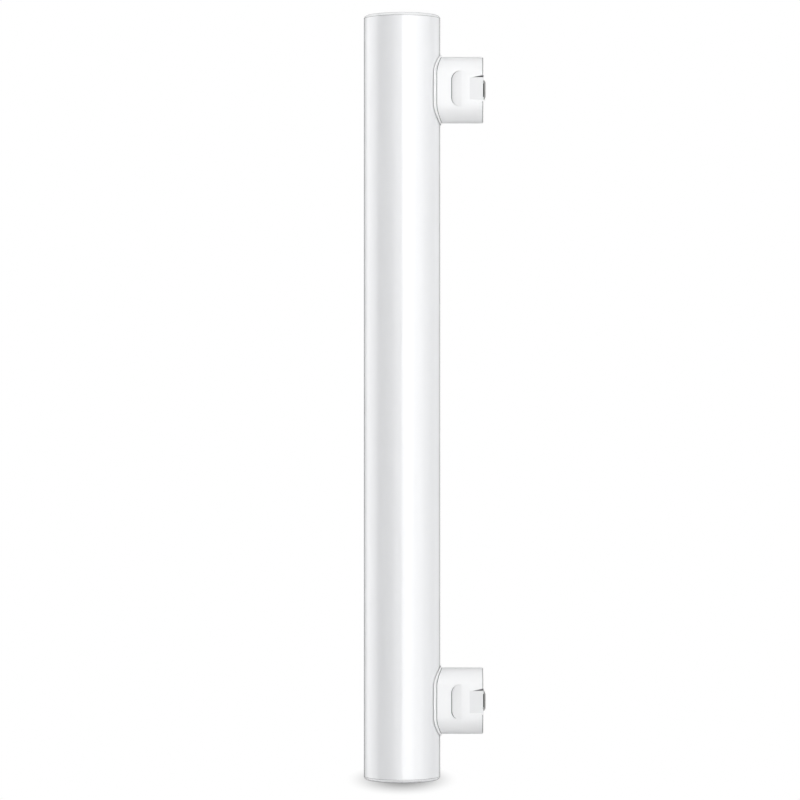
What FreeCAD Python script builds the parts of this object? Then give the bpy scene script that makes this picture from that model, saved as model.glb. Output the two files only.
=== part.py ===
import FreeCAD, Part
import math
import os
import Sketcher

# Tubular lamp: an opal tube with a push-in cap at each end and two socket blocks on one side.
# Frame: the origin is the centre of the bottom cap's outer face, +Z runs up the tube,
# and +X points out through the socket blocks. All sizes are in millimetres.

SIZES = [
    # Tube and end caps.
    ("overall_length", 300.0),
    ("tube_diameter", 30.0),
    ("tube_wall", 1.2),
    ("cap_lip", 1.2),
    ("cap_chamfer", 0.65),
    ("cap_floor", 1.8),
    ("skirt_gap", 0.1),
    ("skirt_wall", 1.2),
    ("skirt_depth", 7.0),
    # Places of the two socket blocks along the tube.
    ("upper_block_drop", 29.2),
    ("lower_block_rise", 30.8),
    # Outside of a socket block, measured from the tube's axis.
    ("block_reach", 32.0),
    ("block_length", 26.0),
    ("block_width", 15.5),
    ("block_corner", 7.5),
    ("block_chamfer", 0.7),
    ("collar_overhang", 0.7),
    ("collar_height", 0.7),
    ("collar_chamfer", 0.2),
    # Walls inside a socket block.
    ("block_wall", 1.4),
    ("end_wall", 2.0),
    ("shelf_place", 18.2),
    ("shelf_width", 3.1),
    # Snap recess in each flat side of a block.
    ("recess_start", 19.25),
    ("recess_run", 6.1),
    ("recess_length", 14.0),
    ("recess_depth", 1.6),
    ("recess_corner", 3.5),
    # Lead-in ramp between the recess and the end face.
    ("ramp_run", 5.45),
    ("ramp_floor", 8.6),
    ("ramp_depth", 1.1),
    # Snap arms that hold a block to the tube.
    ("arm_width", 5.0),
    ("arm_thickness", 1.2),
    ("arm_side_gap", 0.3),
    ("hook_drop", 0.4),
    ("hook_height", 1.2),
    ("hook_overhang", 0.7),
    ("slot_gap", 0.2),
    # Contact strip in a block's end face.
    ("contact_length", 8.3),
    ("contact_width", 5.0),
    ("contact_proud", 1.0),
    ("contact_thickness", 0.6),
    ("contact_foot", 1.6),
    ("contact_tail", 6.0),
    ("contact_gap", 0.1),
    ("rest_width", 2.0),
    ("rest_margin", 0.5),
    # Lead from a contact to the driver board.
    ("lead_diameter", 1.5),
    ("lead_overlap", 3.0),
    ("lead_margin", 5.0),
    ("lead_hole", 4.0),
    # Aluminium rail that carries both boards.
    ("rail_standoff", 4.3),
    ("rail_depth", 4.5),
    ("rail_thickness", 1.2),
    ("rail_clearance", 0.7),
    ("rail_end_gap", 0.3),
    ("rail_fit", 0.15),
    ("socket_wall", 1.4),
    ("socket_height", 5.0),
    # Light board with its row of light sources.
    ("tape_thickness", 0.2),
    ("light_board_thickness", 1.0),
    ("light_board_margin", 3.0),
    ("light_board_end_gap", 2.0),
    ("source_count", 24),
    ("source_width", 2.8),
    ("source_length", 3.5),
    ("source_height", 0.8),
    ("source_end_margin", 5.0),
    # Driver board and its insulating sheet.
    ("sheet_thickness", 0.3),
    ("sheet_side_gap", 0.3),
    ("sheet_overhang", 2.0),
    ("driver_thickness", 1.2),
    ("driver_side_gap", 1.0),
    # Pins that join the two boards through the rail.
    ("pin_diameter", 0.8),
    ("pin_inset", 2.0),
    ("pin_margin", 2.5),
    ("pin_proud", 0.6),
    ("pin_hole", 1.0),
    ("pin_window", 2.6),
    # Parts that stand in a row along the driver board.
    ("part_gap", 1.2),
    ("resistor_diameter", 2.6),
    ("resistor_waist", 2.2),
    ("resistor_length", 8.0),
    ("resistor_shoulder", 2.0),
    ("wire_size", 0.6),
    ("wire_reach", 1.6),
    ("varistor_diameter", 7.0),
    ("varistor_thickness", 3.0),
    ("varistor_chamfer", 0.5),
    ("bridge_length", 4.7),
    ("bridge_width", 3.9),
    ("bridge_height", 2.3),
    ("capacitor_diameter", 5.0),
    ("capacitor_length", 11.0),
    ("crimp_diameter", 4.4),
    ("crimp_width", 1.4),
    ("crimp_margin", 0.8),
    ("regulator_length", 4.9),
    ("regulator_width", 3.9),
    ("regulator_height", 1.6),
    ("leg_width", 0.5),
    ("leg_thickness", 0.25),
    ("leg_reach", 1.1),
]

doc = FreeCAD.newDocument("tubular_lamp")
size = doc.addObject("Spreadsheet::Sheet", "size")
for row, (alias, value) in enumerate(SIZES, start=1):
    size.set(f"A{row}", alias)
    size.set(f"B{row}", str(value))
    size.setAlias(f"B{row}", alias)
doc.recompute()

# Lengths that several pieces share, as expressions of the sheet's values.
TUBE_RADIUS = "size.tube_diameter / 2"
BORE = f"({TUBE_RADIUS} - size.tube_wall)"
SKIRT_RADIUS = f"({BORE} - size.skirt_gap)"
UPPER_BLOCK_HEIGHT = "size.overall_length - size.upper_block_drop"
LOWER_BLOCK_HEIGHT = "size.lower_block_rise"
DRIVER_HEIGHT = f"(({UPPER_BLOCK_HEIGHT} + {LOWER_BLOCK_HEIGHT}) / 2)"
CLEAR_OUT = "(size.block_reach + size.block_length)"
ARM_OUTER = "(size.block_length / 2 - size.block_wall - size.arm_side_gap)"
ARM_INNER = f"({ARM_OUTER} - size.arm_thickness)"
HOOK_FACE = f"({BORE} - size.hook_drop)"
ARM_TIP = f"({HOOK_FACE} - size.hook_height)"
RAIL_TIP = f"({BORE} - size.rail_standoff)"
RAIL_NEAR = f"({RAIL_TIP} - size.rail_depth)"
RAIL_HALF = f"sqrt(({BORE} - size.rail_clearance)^2 - {RAIL_TIP}^2)"
RAIL_SEAT = f"({RAIL_NEAR} + size.rail_thickness)"
RAIL_START = "(size.cap_floor + size.rail_end_gap)"
BOARD_START = "(size.cap_floor + size.socket_height + size.light_board_end_gap)"
BOARD_LENGTH = f"(size.overall_length - 2 * {BOARD_START})"
BOARD_HALF = f"({RAIL_HALF} - size.light_board_margin)"
LIGHT_BOARD_FRONT = f"({RAIL_NEAR} - size.tape_thickness - size.light_board_thickness)"
DRIVER_BACK = f"({RAIL_SEAT} + size.sheet_thickness)"
DRIVER_TOP = f"({DRIVER_BACK} + size.driver_thickness)"
DRIVER_HALF = f"({RAIL_HALF} - size.rail_thickness - size.driver_side_gap)"
LEAD_LEVEL = "(size.contact_length / 2 - size.contact_thickness - size.lead_diameter / 2)"
LEAD_SPACING = f"({UPPER_BLOCK_HEIGHT} - {LOWER_BLOCK_HEIGHT} - 2 * {LEAD_LEVEL})"
DRIVER_LENGTH = f"({LEAD_SPACING} + 2 * size.lead_margin)"

# Length that each part takes up along the driver board, from its upper end down.
PART_SPANS = {
    "resistor": "(size.resistor_length + 2 * size.wire_reach)",
    "varistor": "size.varistor_diameter",
    "bridge": "size.bridge_length",
    "capacitor": "(size.capacitor_length + size.wire_reach)",
    "regulator": "size.regulator_length",
}
ROW_LENGTH = f"({' + '.join(PART_SPANS.values())} + {len(PART_SPANS) + 1} * size.part_gap)"
PIN_HEIGHT = f"({DRIVER_HEIGHT} + {ROW_LENGTH} / 2 + size.pin_margin)"
PIN_OFFSET = f"({BOARD_HALF} - size.pin_inset)"


def number(expression):
    """Value of an expression of the sheet, in millimetres."""
    value = size.evalExpression(expression.replace("size.", ""))
    return float(getattr(value, "Value", value))


def start_body(label):
    """New body whose label names the piece."""
    body = doc.addObject("PartDesign::Body", label)
    body.Label = label
    return body


def origin_feature(body, role):
    """Plane or axis of a body's own origin."""
    return next(item for item in body.Origin.OriginFeatures if item.Role == role)


def start_sketch(body, role, name, offset="0"):
    """Sketch on one of the body's origin planes, moved along its normal."""
    sketch = body.newObject("Sketcher::SketchObject", f"{body.Name}_{name}_sketch")
    sketch.AttachmentSupport = (origin_feature(body, role), "")
    sketch.MapMode = "FlatFace"
    sketch.setExpression(".AttachmentOffset.Base.z", offset)
    return sketch


def bind(sketch, kind, geometry, end, expression):
    """Hold one coordinate of a sketch point at an expression."""
    if expression == "0":
        axis = -2 if kind == "DistanceX" else -1
        sketch.addConstraint(Sketcher.Constraint("PointOnObject", geometry, end, axis))
        return
    value = number(expression)
    index = sketch.addConstraint(Sketcher.Constraint(kind, -1, 1, geometry, end, value))
    sketch.renameConstraint(index, f"{kind}_{geometry}_{end}")
    sketch.setExpression(f"Constraints.{kind}_{geometry}_{end}", expression)


def draw(sketch, steps):
    """Closed outline of lines and arcs through the given points.

    A step of two expressions is a point reached by a line. A step of four is a point
    reached by an arc that turns left about the centre in its last two expressions.
    """
    points = [FreeCAD.Vector(number(step[0]), number(step[1]), 0) for step in steps]
    first = sketch.GeometryCount
    for place, step in enumerate(steps):
        before = points[place - 1]
        after = points[place]
        if len(step) == 2:
            index = sketch.addGeometry(Part.LineSegment(before, after), False)
        else:
            centre = FreeCAD.Vector(number(step[2]), number(step[3]), 0)
            arms = [before - centre, after - centre]
            angles = [math.atan2(arm.y, arm.x) for arm in arms]
            circle = Part.Circle(centre, FreeCAD.Vector(0, 0, 1), arms[0].Length)
            index = sketch.addGeometry(Part.ArcOfCircle(circle, angles[0], angles[1]), False)
            chord = after - before
            if abs(chord.y) >= abs(chord.x):
                bind(sketch, "DistanceX", index, 3, step[2])
            else:
                bind(sketch, "DistanceY", index, 3, step[3])
        bind(sketch, "DistanceX", index, 2, step[0])
        bind(sketch, "DistanceY", index, 2, step[1])
    last = sketch.GeometryCount - 1
    for index in range(first + 1, last + 1):
        sketch.addConstraint(Sketcher.Constraint("Coincident", index - 1, 2, index, 1))
    sketch.addConstraint(Sketcher.Constraint("Coincident", last, 2, first, 1))


def draw_circle(sketch, radius, across="0", along="0"):
    """Circle held by its centre and radius."""
    centre = FreeCAD.Vector(number(across), number(along), 0)
    circle = Part.Circle(centre, FreeCAD.Vector(0, 0, 1), number(radius))
    index = sketch.addGeometry(circle, False)
    bind(sketch, "DistanceX", index, 3, across)
    bind(sketch, "DistanceY", index, 3, along)
    radius_index = sketch.addConstraint(Sketcher.Constraint("Radius", index, number(radius)))
    sketch.renameConstraint(radius_index, f"radius_{index}")
    sketch.setExpression(f"Constraints.radius_{index}", radius)


def rectangle(left, right, low, high):
    """Corners of an upright rectangle."""
    return [(left, low), (right, low), (right, high), (left, high)]


def rounded_rectangle(left, right, low, high, corner):
    """Steps of an upright rectangle whose four corners are arcs."""
    inner_left = f"{left} + {corner}"
    inner_right = f"{right} - {corner}"
    inner_low = f"{low} + {corner}"
    inner_high = f"{high} - {corner}"
    return [
        (inner_right, low),
        (right, inner_low, inner_right, inner_low),
        (right, inner_high),
        (inner_right, high, inner_right, inner_high),
        (inner_left, high),
        (left, inner_high, inner_left, inner_high),
        (left, inner_low),
        (inner_left, low, inner_left, inner_low),
    ]


def centred_section(sketch, width, length, corner):
    """Rounded rectangle about the sketch's origin."""
    steps = rounded_rectangle(
        f"-({width}) / 2", f"({width}) / 2", f"-({length}) / 2", f"({length}) / 2", f"({corner})"
    )
    draw(sketch, steps)


def extrude(body, name, sketch, length, cut=False, symmetric=False, reverse=False):
    """Pad or pocket of a sketch; a pocket has to take material away."""
    kind = "PartDesign::Pocket" if cut else "PartDesign::Pad"
    before = 0.0
    if cut:
        doc.recompute()
        before = body.Shape.Volume
    feature = body.newObject(kind, f"{body.Name}_{name}")
    feature.Profile = sketch
    feature.SideType = "Symmetric" if symmetric else "One side"
    feature.Reversed = reverse
    feature.setExpression("Length", length)
    doc.recompute()
    if cut and not body.Shape.Volume < before:
        raise RuntimeError(f"{feature.Name} takes nothing away")
    return feature


def revolve(body, name, sketch):
    """Full turn of a sketch about the body's Z axis."""
    feature = body.newObject("PartDesign::Revolution", f"{body.Name}_{name}")
    feature.Profile = sketch
    feature.ReferenceAxis = (origin_feature(body, "Z_Axis"), [""])
    feature.Angle = 360
    doc.recompute()
    return feature


def mirror(body, name, originals, role):
    """Mirror some features of a body in one of its origin planes."""
    feature = body.newObject("PartDesign::Mirrored", f"{body.Name}_{name}")
    feature.Originals = originals
    feature.MirrorPlane = (origin_feature(body, role), [""])
    body.Tip = feature
    doc.recompute()
    return feature


def repeat(body, name, original, count, pitch):
    """Row of copies of a feature along the body's Z axis."""
    feature = body.newObject("PartDesign::LinearPattern", f"{body.Name}_{name}")
    feature.Originals = [original]
    feature.Direction = (origin_feature(body, "Z_Axis"), [""])
    feature.Mode = "Spacing"
    feature.setExpression("Offset", pitch)
    feature.setExpression("Occurrences", count)
    body.Tip = feature
    doc.recompute()
    return feature


def edges_where(feature, test):
    """Names of a feature's edges that pass a test."""
    return [f"Edge{place}" for place, edge in enumerate(feature.Shape.Edges, start=1) if test(edge)]


def chamfer(body, name, feature, edges, amount):
    """Chamfer on the named edges of a feature."""
    finish = body.newObject("PartDesign::Chamfer", f"{body.Name}_{name}")
    finish.Base = (feature, edges)
    finish.setExpression("Size", amount)
    doc.recompute()
    return finish


def place(body, height, across="0", turned=False):
    """Set a piece at a height on the tube, turned half round about X for a lower twin."""
    turn = FreeCAD.Rotation(FreeCAD.Vector(1, 0, 0), 180 if turned else 0)
    body.Placement = FreeCAD.Placement(FreeCAD.Vector(0, 0, 0), turn)
    body.setExpression(".Placement.Base.x", across)
    body.setExpression(".Placement.Base.z", height)
    return body


def make_tube():
    """Opal tube, pierced under each block for the snap arms and the lead."""
    body = start_body("diffuser_tube")
    ring = start_sketch(body, "XY_Plane", "ring", "size.cap_lip")
    draw_circle(ring, TUBE_RADIUS)
    draw_circle(ring, BORE)
    extrude(body, "wall", ring, "size.overall_length - 2 * size.cap_lip")
    arm_side = "(size.arm_width / 2 + size.slot_gap)"
    slot_near = f"({ARM_INNER} - size.hook_overhang - size.slot_gap)"
    slot_far = f"({ARM_OUTER} + size.slot_gap)"
    for name, height, side in (("upper", UPPER_BLOCK_HEIGHT, "-"), ("lower", LOWER_BLOCK_HEIGHT, "+")):
        holes = start_sketch(body, "YZ_Plane", f"{name}_holes")
        for low, high in (
            (f"{height} + {slot_near}", f"{height} + {slot_far}"),
            (f"{height} - {slot_far}", f"{height} - {slot_near}"),
        ):
            draw(holes, rectangle(f"-{arm_side}", arm_side, low, high))
        draw_circle(holes, "size.lead_hole / 2", "0", f"{height} {side} {LEAD_LEVEL}")
        extrude(body, f"{name}_holes", holes, "size.tube_diameter", cut=True, reverse=True)
    return body


def make_end_cap(label, height, turned):
    """Push-in cap: a bevelled lip on the tube's end, a skirt in the bore and a rail socket."""
    body = start_body(label)
    profile = start_sketch(body, "XZ_Plane", "profile")
    skirt_inner = f"{SKIRT_RADIUS} - size.skirt_wall"
    skirt_top = "size.cap_lip + size.skirt_depth"
    steps = [
        ("0", "0"),
        (TUBE_RADIUS, "0"),
        (TUBE_RADIUS, "size.cap_lip"),
        (SKIRT_RADIUS, "size.cap_lip"),
        (SKIRT_RADIUS, skirt_top),
        (skirt_inner, skirt_top),
        (skirt_inner, "size.cap_floor"),
        ("0", "size.cap_floor"),
    ]
    draw(profile, steps)
    shell = revolve(body, "shell", profile)
    rim = edges_where(shell, lambda edge: abs(edge.BoundBox.ZMax) < 0.001)
    chamfer(body, "edge", shell, rim, "size.cap_chamfer")
    block = start_sketch(body, "XY_Plane", "socket", "size.cap_floor")
    reach = f"({SKIRT_RADIUS} - size.skirt_wall / 2)"
    near = f"({RAIL_NEAR} - size.socket_wall)"
    far = f"({RAIL_SEAT} + size.socket_wall)"
    near_side = f"sqrt({reach}^2 - {near}^2)"
    far_side = f"sqrt({reach}^2 - {far}^2)"
    steps = [
        (near, f"-{near_side}"),
        (far, f"-{far_side}", "0", "0"),
        (far, far_side),
        (near, near_side, "0", "0"),
    ]
    draw(block, steps)
    extrude(body, "socket", block, "size.socket_height")
    slot = start_sketch(body, "XY_Plane", "rail_slot", "size.cap_floor")
    draw(slot, rail_outline("size.rail_fit"))
    extrude(body, "rail_slot", slot, "2 * size.socket_height", cut=True, reverse=True)
    return place(body, height, turned=turned)


def rail_outline(clearance):
    """Channel section of the rail, grown by a clearance."""
    outer = f"({RAIL_HALF} + {clearance})"
    inner = f"({RAIL_HALF} - size.rail_thickness - {clearance})"
    near = f"{RAIL_NEAR} - {clearance}"
    seat = f"{RAIL_SEAT} + {clearance}"
    tip = f"{RAIL_TIP} + {clearance}"
    return [
        (near, f"-{outer}"),
        (tip, f"-{outer}"),
        (tip, f"-{inner}"),
        (seat, f"-{inner}"),
        (seat, inner),
        (tip, inner),
        (tip, outer),
        (near, outer),
    ]


def make_socket_block(label, height, turned):
    """Hollow moulded block that sits on the tube and carries one contact."""
    body = start_body(label)
    add_block_outside(body)
    add_block_cavity(body)
    add_block_recesses(body)
    add_contact_rest(body)
    add_snap_arms(body)
    return place(body, height, turned=turned)


def add_block_outside(body):
    """Chamfered collar on the tube, and the rounded block with its saddle."""
    collar = start_sketch(body, "YZ_Plane", "collar")
    centred_section(
        collar,
        "size.block_width + 2 * size.collar_overhang",
        "size.block_length + 2 * size.collar_overhang",
        "size.block_corner + size.collar_overhang",
    )
    extrude(body, "collar", collar, "size.block_reach")
    collar_radius = f"({TUBE_RADIUS} + size.collar_height)"
    trim = start_sketch(body, "XY_Plane", "collar_trim")
    draw_circle(trim, f"2 * {CLEAR_OUT}")
    draw_circle(trim, collar_radius)
    trimmed = extrude(body, "collar_trim", trim, f"2 * {CLEAR_OUT}", cut=True, symmetric=True)
    radius = number(collar_radius)

    def on_collar(edge):
        points = [edge.valueAt(edge.FirstParameter), edge.valueAt(edge.LastParameter)]
        return all(abs(math.hypot(point.x, point.y) - radius) < 0.001 for point in points)

    top_edges = edges_where(trimmed, on_collar)
    chamfer(body, "collar_edge", trimmed, top_edges, "size.collar_chamfer")
    section = start_sketch(body, "YZ_Plane", "section")
    centred_section(section, "size.block_width", "size.block_length", "size.block_corner")
    solid = extrude(body, "solid", section, "size.block_reach")
    reach = number("size.block_reach")
    rim = edges_where(solid, lambda edge: edge.BoundBox.XMin > reach - 0.001)
    chamfer(body, "end_edge", solid, rim, "size.block_chamfer")
    saddle = start_sketch(body, "XY_Plane", "saddle")
    draw_circle(saddle, TUBE_RADIUS)
    extrude(body, "saddle", saddle, f"2 * {CLEAR_OUT}", cut=True, symmetric=True)


def add_block_cavity(body):
    """Stepped core, open to the tube, and two slots for the contact's legs."""
    wide = start_sketch(body, "YZ_Plane", "wide_core", "size.shelf_place")
    centred_section(
        wide,
        "size.block_width - 2 * size.block_wall",
        "size.block_length - 2 * size.block_wall",
        "size.block_corner - size.block_wall",
    )
    extrude(body, "wide_core", wide, "size.shelf_place", cut=True)
    narrow = start_sketch(body, "YZ_Plane", "narrow_core", "size.block_reach - size.end_wall")
    centred_section(
        narrow,
        "size.block_width - 2 * (size.recess_depth + size.block_wall)",
        "size.block_length - 2 * size.shelf_width",
        "size.block_corner - size.shelf_width",
    )
    extrude(body, "narrow_core", narrow, "size.block_reach - size.end_wall", cut=True)
    slots = start_sketch(body, "YZ_Plane", "contact_slots", "size.block_reach")
    side = "(size.contact_width / 2 + size.contact_gap)"
    outer = "(size.contact_length / 2 + size.contact_gap)"
    inner = "(size.contact_length / 2 - sqrt(2) * size.contact_thickness - size.contact_gap)"
    draw(slots, rectangle(f"-{side}", side, inner, outer))
    draw(slots, rectangle(f"-{side}", side, f"-{outer}", f"-{inner}"))
    extrude(body, "contact_slots", slots, "size.end_wall + size.contact_gap", cut=True)


def add_block_recesses(body):
    """Snap recess with a scooped floor, and lead-in ramp, on both flat sides."""
    half_width = "size.block_width / 2"
    recess_end = "size.recess_start + size.recess_run"
    half_recess = "(size.recess_length / 2)"
    pocket = start_sketch(body, "XZ_Plane", "recess", half_width)
    corner_place = "size.recess_start + size.recess_corner"
    corner_height = f"({half_recess} - size.recess_corner)"
    steps = [
        (recess_end, f"-{half_recess}"),
        (recess_end, half_recess),
        (corner_place, half_recess),
        ("size.recess_start", corner_height, corner_place, corner_height),
        ("size.recess_start", f"-{corner_height}"),
        (corner_place, f"-{half_recess}", corner_place, f"-{corner_height}"),
    ]
    draw(pocket, steps)
    recess = extrude(body, "recess", pocket, "size.recess_depth", cut=True)
    scoop = start_sketch(body, "XY_Plane", "recess_floor")
    recess_bottom = f"-({half_width} - size.recess_depth)"
    scoop_radius = "(size.recess_run^2 + size.recess_depth^2) / (2 * size.recess_depth)"
    steps = [
        ("size.recess_start", recess_bottom),
        (recess_end, f"-{half_width}", recess_end, f"{scoop_radius} - {half_width}"),
        (recess_end, recess_bottom),
    ]
    draw(scoop, steps)
    floor = extrude(body, "recess_floor", scoop, "size.recess_length", symmetric=True)
    sections = []
    for name, station, depth in (
        ("ramp_foot", "size.block_reach - 2 * size.ramp_run", "-size.ramp_depth"),
        ("ramp_mouth", "size.block_reach + size.ramp_run", "2 * size.ramp_depth"),
    ):
        section = start_sketch(body, "YZ_Plane", name, station)
        bottom = f"-({half_width}) + {depth}"
        top = f"-({half_width}) - 3 * size.ramp_depth"
        flare = f"(size.ramp_floor / 2 + 3 * size.ramp_depth + {depth})"
        draw(
            section,
            [
                (bottom, "-size.ramp_floor / 2"),
                (bottom, "size.ramp_floor / 2"),
                (top, flare),
                (top, f"-{flare}"),
            ],
        )
        sections.append(section)
    doc.recompute()
    ramp = body.newObject("PartDesign::SubtractiveLoft", f"{body.Name}_ramp")
    ramp.Profile = sections[0]
    ramp.Sections = [sections[1]]
    ramp.Ruled = True
    doc.recompute()
    mirror(body, "far_side", [recess, floor, ramp], "XZ_Plane")


def add_contact_rest(body):
    """Rib on the end face that backs the contact's bridge."""
    rest = start_sketch(body, "YZ_Plane", "contact_rest", "size.block_reach")
    half_width = "size.rest_width / 2"
    half_length = "(size.contact_length / 2 - size.contact_proud - size.rest_margin)"
    draw(rest, rectangle(f"-{half_width}", half_width, f"-{half_length}", half_length))
    extrude(body, "contact_rest", rest, "size.contact_proud - size.contact_thickness")


def add_snap_arms(body):
    """Two arms that pass through the tube's wall and hook behind it."""
    arm_side = "size.arm_width / 2"
    stem = start_sketch(body, "YZ_Plane", "arm", ARM_TIP)
    draw(stem, rectangle(f"-{arm_side}", arm_side, ARM_INNER, ARM_OUTER))
    arm = extrude(body, "arm", stem, f"size.shelf_place - {ARM_TIP} + size.arm_side_gap")
    barb = start_sketch(body, "XZ_Plane", "hook")
    hook_edge = f"{ARM_OUTER} + size.hook_overhang"
    steps = [
        (ARM_TIP, ARM_OUTER),
        (ARM_TIP, ARM_INNER),
        (HOOK_FACE, ARM_INNER),
        (HOOK_FACE, hook_edge),
    ]
    draw(barb, steps)
    hook = extrude(body, "hook", barb, "size.arm_width", symmetric=True)
    mirror(body, "lower_arm", [arm, hook], "XY_Plane")


def make_contact(label, height, turned):
    """Folded metal strip: a bridge on the end face, a clinched foot and a solder tail."""
    body = start_body(label)
    strip = start_sketch(body, "XZ_Plane", "strip")
    outer = "(size.contact_length / 2)"
    inner = "(size.contact_length / 2 - size.contact_thickness)"
    bend = "(sqrt(2) - 1) * size.contact_thickness"
    crown = "size.block_reach + size.contact_proud"
    crown_outer = "(size.contact_length / 2 - size.contact_proud)"
    crown_inner = f"({crown_outer} - {bend})"
    inside = "size.block_reach - size.end_wall"
    foot_end = f"{inner} - size.contact_foot"
    tail_end = f"{inside} - size.contact_tail"
    steps = [
        (tail_end, f"-{inner}"),
        (f"size.block_reach - {bend}", f"-{inner}"),
        (f"{crown} - size.contact_thickness", f"-{crown_inner}"),
        (f"{crown} - size.contact_thickness", crown_inner),
        (f"size.block_reach - {bend}", inner),
        (inside, inner),
        (inside, foot_end),
        (f"{inside} - size.contact_thickness", foot_end),
        (f"{inside} - size.contact_thickness", outer),
        ("size.block_reach", outer),
        (crown, crown_outer),
        (crown, f"-{crown_outer}"),
        ("size.block_reach", f"-{outer}"),
        (tail_end, f"-{outer}"),
    ]
    draw(strip, steps)
    extrude(body, "strip", strip, "size.contact_width", symmetric=True)
    return place(body, height, turned=turned)


def make_lead(label, height, turned):
    """Insulated wire from the contact's tail straight through the tube to the driver board."""
    body = start_body(label)
    tail_end = "size.block_reach - size.end_wall - size.contact_tail"
    section = start_sketch(body, "YZ_Plane", "section", DRIVER_TOP)
    draw_circle(section, "size.lead_diameter / 2", "0", f"-{LEAD_LEVEL}")
    extrude(body, "wire", section, f"{tail_end} + size.lead_overlap - {DRIVER_TOP}")
    return place(body, height, turned=turned)


def make_rail():
    """Aluminium channel with a window for the link pins."""
    body = start_body("board_rail")
    section = start_sketch(body, "XY_Plane", "section", RAIL_START)
    draw(section, rail_outline("0"))
    extrude(body, "channel", section, f"size.overall_length - 2 * {RAIL_START}")
    cut_pin_window(body)
    return body


def cut_pin_window(body):
    """Window through a flat piece that both link pins pass without touching."""
    window = start_sketch(body, "YZ_Plane", "pin_window")
    side = f"({PIN_OFFSET} + size.pin_window / 2)"
    low = f"{PIN_HEIGHT} - size.pin_window / 2"
    high = f"{PIN_HEIGHT} + size.pin_window / 2"
    draw(window, rectangle(f"-{side}", side, low, high))
    extrude(body, "pin_window", window, "size.tube_diameter", cut=True, reverse=True)


def cut_pin_holes(body):
    """Pair of round holes through a board, one for each link pin."""
    holes = start_sketch(body, "YZ_Plane", "pin_holes")
    draw_circle(holes, "size.pin_hole / 2", PIN_OFFSET, PIN_HEIGHT)
    draw_circle(holes, "size.pin_hole / 2", f"-{PIN_OFFSET}", PIN_HEIGHT)
    extrude(body, "pin_holes", holes, "size.tube_diameter", cut=True, reverse=True)


def make_flat(label, back, thickness, half_width, low, high):
    """Flat board or sheet that lies along the rail."""
    body = start_body(label)
    outline = start_sketch(body, "YZ_Plane", "outline", back)
    draw(outline, rectangle(f"-{half_width}", half_width, low, high))
    extrude(body, "plate", outline, thickness)
    return body


def make_light_sources():
    """Row of light sources on the light board, each a separate small package."""
    body = start_body("light_sources")
    body.AllowCompound = True
    first = f"{BOARD_START} + size.source_end_margin"
    package = start_sketch(body, "YZ_Plane", "package", f"{LIGHT_BOARD_FRONT} - size.source_height")
    half_width = "size.source_width / 2"
    low = f"{first} - size.source_length / 2"
    high = f"{first} + size.source_length / 2"
    draw(package, rectangle(f"-{half_width}", half_width, low, high))
    source = extrude(body, "package", package, "size.source_height")
    pitch = f"({BOARD_LENGTH} - 2 * size.source_end_margin) / (size.source_count - 1)"
    repeat(body, "row", source, "size.source_count", pitch)
    return body


def make_link_pins():
    """Two pins that join the light board and the driver board through the rail."""
    body = start_body("link_pins")
    body.AllowCompound = True
    pins = start_sketch(body, "YZ_Plane", "pins", f"{LIGHT_BOARD_FRONT} - size.pin_proud")
    draw_circle(pins, "size.pin_diameter / 2", PIN_OFFSET, PIN_HEIGHT)
    draw_circle(pins, "size.pin_diameter / 2", f"-{PIN_OFFSET}", PIN_HEIGHT)
    extrude(body, "pins", pins, f"{DRIVER_TOP} - {LIGHT_BOARD_FRONT} + 2 * size.pin_proud")
    return body


def make_chip(label, name, legs):
    """Moulded package with rows of bent legs, standing on the driver board."""
    body = start_body(label)
    length = f"size.{name}_length"
    half_width = f"size.{name}_width / 2"
    height = f"size.{name}_height"
    case = start_sketch(body, "YZ_Plane", "case", "size.leg_thickness")
    draw(case, rectangle(f"-{half_width}", half_width, f"-{length} / 2", f"{length} / 2"))
    extrude(body, "case", case, f"{height} - size.leg_thickness")
    middle = f"{height} / 2"
    toe = f"{half_width} + size.leg_reach"
    heel = f"{half_width} + size.leg_reach / 2"
    root = f"{half_width} - size.leg_thickness"
    pitch = f"{length} / {legs}"
    leg = start_sketch(body, "XY_Plane", "leg", f"-({length} - {pitch}) / 2 - size.leg_width / 2")
    for sign in ("", "-"):
        steps = [
            ("0", f"{sign}({toe})"),
            ("size.leg_thickness", f"{sign}({toe})"),
            ("size.leg_thickness", f"{sign}({heel})"),
            (middle, f"{sign}({heel})"),
            (middle, f"{sign}({root})"),
            (f"{middle} - size.leg_thickness", f"{sign}({root})"),
            (f"{middle} - size.leg_thickness", f"{sign}({heel} - size.leg_thickness)"),
            ("0", f"{sign}({heel} - size.leg_thickness)"),
        ]
        draw(leg, steps)
    legs_pad = extrude(body, "leg", leg, "size.leg_width")
    repeat(body, "legs", legs_pad, str(legs), pitch)
    return place(body, row_height(name), across=DRIVER_TOP)


def row_height(name):
    """Height of the middle of a part in the row along the driver board."""
    top = f"{DRIVER_HEIGHT} + {ROW_LENGTH} / 2"
    for other, span in PART_SPANS.items():
        if other == name:
            return f"{top} - size.part_gap - {span} / 2"
        top = f"{top} - size.part_gap - {span}"
    raise KeyError(name)


def add_wire_leg(body, name, offset, axis_height, case_end):
    """Square wire that leaves a case along Z and turns down to the board."""
    wire = start_sketch(body, "XZ_Plane", name, offset)
    half = "size.wire_size / 2"
    outer = f"({case_end} + size.wire_reach)"
    steps = [
        (f"-{half}", f"{case_end} - {half}"),
        (half, f"{case_end} - {half}"),
        (half, outer),
        (f"-{axis_height}", outer),
        (f"-{axis_height}", f"{outer} - size.wire_size"),
        (f"-{half}", f"{outer} - size.wire_size"),
    ]
    draw(wire, steps)
    return extrude(body, name, wire, "size.wire_size", symmetric=True)


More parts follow.
